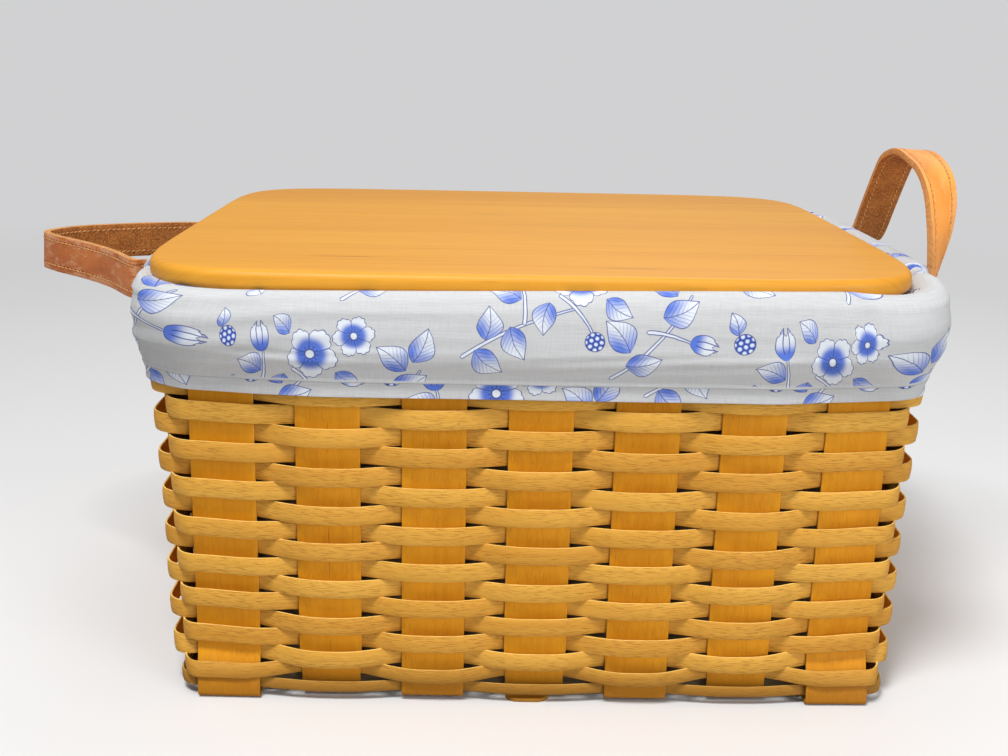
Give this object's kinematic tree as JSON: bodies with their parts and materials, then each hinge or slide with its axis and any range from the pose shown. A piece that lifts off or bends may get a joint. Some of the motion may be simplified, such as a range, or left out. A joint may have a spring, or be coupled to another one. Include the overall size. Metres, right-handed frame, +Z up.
{
  "type": "woven storage basket",
  "caption": "Splint-woven wooden storage basket with a lift-off board lid, a fabric liner folded over the rim and a leather loop handle on each end.",
  "frame": {"origin": "on the floor under the middle of the base, at the underside of the middle runner", "axes": "+Z up; -Y towards the side that faces the camera in the picture; the handles are on the -X and +X ends"},
  "size_m": [0.6378, 0.4898, 0.3314],
  "materials": {
    "splint_wood": "satin, honey-stained maple splint",
    "weaver_wood": "satin, honey-stained maple splint",
    "rim_wood": "satin",
    "runner_wood": "satin",
    "lid_wood": "satin lacquer",
    "liner_cotton": "plain-woven printed cotton",
    "leather": "stitched, smooth outside and rough inside",
    "brass": "bright",
    "rivet_brass": "worn"
  },
  "bodies": {
    "basket": {"crosswise_splint_1": "splint_wood", "crosswise_splint_2": "splint_wood", "crosswise_splint_3": "splint_wood", "crosswise_splint_4": "splint_wood", "crosswise_splint_5": "splint_wood", "crosswise_splint_6": "splint_wood", "crosswise_splint_7": "splint_wood", "lengthwise_splint_1": "splint_wood", "lengthwise_splint_2": "splint_wood", "lengthwise_splint_3": "splint_wood", "lengthwise_splint_4": "splint_wood", "lengthwise_splint_5": "splint_wood", "lengthwise_splint_6": "splint_wood", "lengthwise_splint_7": "splint_wood", "start_hoop": "weaver_wood", "weaver_row_01": "weaver_wood", "weaver_row_02": "weaver_wood", "weaver_row_03": "weaver_wood", "weaver_row_04": "weaver_wood", "weaver_row_05": "weaver_wood", "weaver_row_06": "weaver_wood", "weaver_row_07": "weaver_wood", "weaver_row_08": "weaver_wood", "weaver_row_09": "weaver_wood", "weaver_row_10": "weaver_wood", "weaver_row_11": "weaver_wood", "weaver_row_12": "weaver_wood", "weaver_row_13": "weaver_wood", "weaver_row_14": "weaver_wood", "weaver_row_15": "weaver_wood", "weaver_row_16": "weaver_wood", "weaver_row_17": "weaver_wood", "weaver_row_18": "weaver_wood", "outer_rim_band": "rim_wood", "inner_rim_band": "rim_wood", "runner_left": "runner_wood", "runner_middle": "runner_wood", "runner_right": "runner_wood", "liner": "liner_cotton", "left_handle_strap_end_front": "leather", "left_handle_rivet_front": "rivet_brass", "left_handle_strap_end_back": "leather", "left_handle_rivet_back": "rivet_brass", "right_handle_strap_end_front": "leather", "right_handle_rivet_front": "rivet_brass", "right_handle_strap_end_back": "leather", "right_handle_rivet_back": "rivet_brass"},
    "lid": {"lid_board_front": "lid_wood", "lid_board_front_middle": "lid_wood", "lid_board_back_middle": "lid_wood", "lid_board_back": "lid_wood", "lid_cleat_left": "lid_wood", "lid_cleat_right": "lid_wood", "lid_screw_left_front": "brass", "lid_screw_left_back": "brass", "lid_screw_right_front": "brass", "lid_screw_right_back": "brass"},
    "left_handle": {"left_handle_strap_loop": "leather"},
    "right_handle": {"right_handle_strap_loop": "leather"}
  },
  "joints": [
    {"name": "lid_lift", "type": "slide", "parent": "basket", "child": "lid", "axis": [0, 0, 1], "range_m": [0, 0.12]},
    {"name": "left_handle_swing", "type": "hinge", "parent": "basket", "child": "left_handle", "pos_m": [-0.26228, 0, 0.241], "axis": [0, 1, 0], "range_deg": [-18, 90]},
    {"name": "right_handle_swing", "type": "hinge", "parent": "basket", "child": "right_handle", "pos_m": [0.26228, 0, 0.241], "axis": [0, 1, 0], "range_deg": [-11, 97]}
  ]
}
